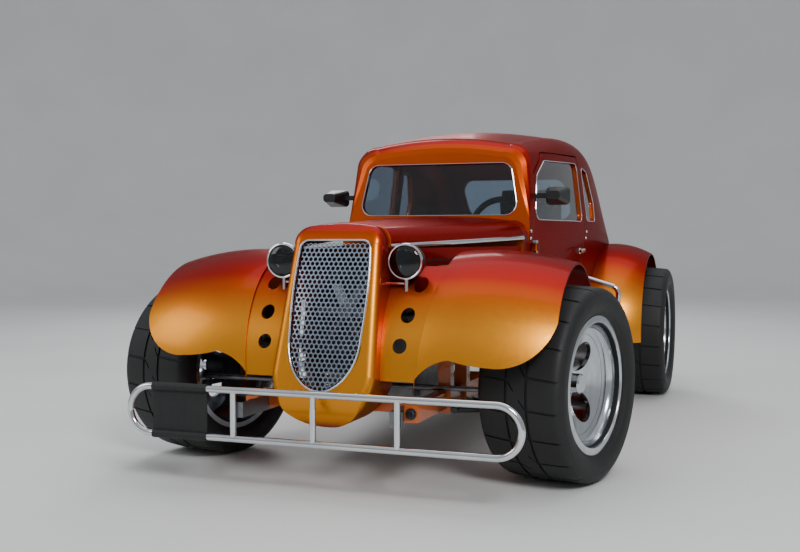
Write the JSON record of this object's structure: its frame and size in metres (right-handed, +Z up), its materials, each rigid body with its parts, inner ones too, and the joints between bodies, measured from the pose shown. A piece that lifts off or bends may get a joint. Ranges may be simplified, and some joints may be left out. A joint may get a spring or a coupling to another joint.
{
  "type": "hot rod coupe",
  "caption": "Small-scale hot rod racing coupe on wide wheels: raked mesh grille, open front fenders, tube bumpers, steering, turning wheels, opening doors and boot.",
  "frame": {"origin": "middle of the car's length and width, on the floor under the wheels", "axes": "+Z up, -Y towards the nose, +X towards the driver's left"},
  "size_m": [1.5864, 3.133, 1.1675],
  "materials": {
    "body_paint": "gloss metallic",
    "frame_paint": "gloss",
    "chrome": "polished",
    "polished_alloy": "polished",
    "mesh_alloy": "satin",
    "tyre_rubber": "matte",
    "glass": "tinted",
    "lamp_glass": "clear",
    "black_plastic": "satin",
    "red_lens": "gloss",
    "wrap": "satin",
    "steel": "satin",
    "seat_cloth": "woven",
    "cast_alloy": "cast",
    "iron": "cast"
  },
  "bodies": {
    "chassis": {"body_shell": "body_paint", "boot_hinges": "steel", "bumper_brackets": "steel", "bumper_plate": "wrap", "chassis_frame": "frame_paint", "cowl": "body_paint", "dashboard": "black_plastic", "door_hinges": "steel", "driveshaft": "steel", "engine": "cast_alloy", "exhaust": "steel", "fender_aprons": "body_paint", "floor_pan": "black_plastic", "front_bumper": "chrome", "front_fender_left": "body_paint", "front_fender_right": "body_paint", "front_suspension": "steel", "grille_mesh": "mesh_alloy", "grille_shell": "body_paint", "headlamp_brackets": "chrome", "headlamp_buckets": "black_plastic", "headlamp_lenses": "lamp_glass", "hood": "body_paint", "hood_sides": "frame_paint", "quarter_glass": "glass", "radiator": "cast_alloy", "rear_axle": "iron", "rear_bumper": "chrome", "rear_fender_left": "body_paint", "rear_fender_right": "body_paint", "rear_glass": "glass", "rear_suspension": "steel", "seat": "seat_cloth", "side_bars": "chrome", "steering_column": "black_plastic", "tail_lamps": "red_lens", "windscreen": "glass"},
    "door_left": {"door_left": "body_paint", "door_glass_left": "glass", "mirror_left": "black_plastic"},
    "door_right": {"door_right": "body_paint", "door_glass_right": "glass", "mirror_right": "black_plastic"},
    "boot_lid": {"boot_lid": "body_paint"},
    "cooling_fan": {"cooling_fan": "black_plastic"},
    "knuckle_left": {"knuckle_left": "iron"},
    "knuckle_right": {"knuckle_right": "iron"},
    "steering_link": {"steering_link": "steel"},
    "wheel_front_left": {"tyre_front_left": "tyre_rubber", "rim_front_left": "polished_alloy"},
    "wheel_front_right": {"tyre_front_right": "tyre_rubber", "rim_front_right": "polished_alloy"},
    "wheel_rear_left": {"tyre_rear_left": "tyre_rubber", "rim_rear_left": "polished_alloy"},
    "wheel_rear_right": {"tyre_rear_right": "tyre_rubber", "rim_rear_right": "polished_alloy"}
  },
  "joints": [
    {"name": "steer_left", "type": "hinge", "parent": "chassis", "child": "knuckle_left", "pos_m": [0.528, -1.07, 0.292], "axis": [0, 0, 1], "range_deg": [-11.1, 38.9]},
    {"name": "steer_right", "type": "hinge", "parent": "chassis", "child": "knuckle_right", "pos_m": [-0.528, -1.07, 0.292], "axis": [0, 0, 1], "range_deg": [-11.1, 38.9]},
    {"name": "steering_link_slide", "type": "slide", "parent": "chassis", "child": "steering_link", "axis": [1, 0, 0], "range_m": [-0.025, 0.086]},
    {"name": "spin_front_left", "type": "hinge", "parent": "knuckle_left", "child": "wheel_front_left", "pos_m": [0.6008, -1.08802, 0.292], "axis": [0.9707, -0.2402, 0], "continuous": true},
    {"name": "spin_front_right", "type": "hinge", "parent": "knuckle_right", "child": "wheel_front_right", "pos_m": [-0.6008, -1.05198, 0.292], "axis": [0.9707, -0.2402, 0], "continuous": true},
    {"name": "spin_rear_left", "type": "hinge", "parent": "chassis", "child": "wheel_rear_left", "pos_m": [0.603, 0.784, 0.292], "axis": [1, 0, 0], "continuous": true},
    {"name": "spin_rear_right", "type": "hinge", "parent": "chassis", "child": "wheel_rear_right", "pos_m": [-0.603, 0.784, 0.292], "axis": [1, 0, 0], "continuous": true},
    {"name": "door_left_hinge", "type": "hinge", "parent": "chassis", "child": "door_left", "pos_m": [0.372, -0.414, 0.56], "axis": [0, 0, -1], "range_deg": [0, 65]},
    {"name": "door_right_hinge", "type": "hinge", "parent": "chassis", "child": "door_right", "pos_m": [-0.372, -0.414, 0.56], "axis": [0, 0, 1], "range_deg": [0, 65]},
    {"name": "boot_lid_hinge", "type": "hinge", "parent": "chassis", "child": "boot_lid", "pos_m": [0, 0.9685, 0.801], "axis": [1, 0, 0], "range_deg": [0, 60]},
    {"name": "fan_spin", "type": "hinge", "parent": "chassis", "child": "cooling_fan", "pos_m": [0, -1.312, 0.505], "axis": [0, 0.9583, -0.2857], "continuous": true}
  ],
  "couplings": [
    {"joint": "steer_right", "follows": "steer_left", "ratio": 1},
    {"joint": "steering_link_slide", "follows": "steer_left", "m_per_rad": 0.126}
  ]
}
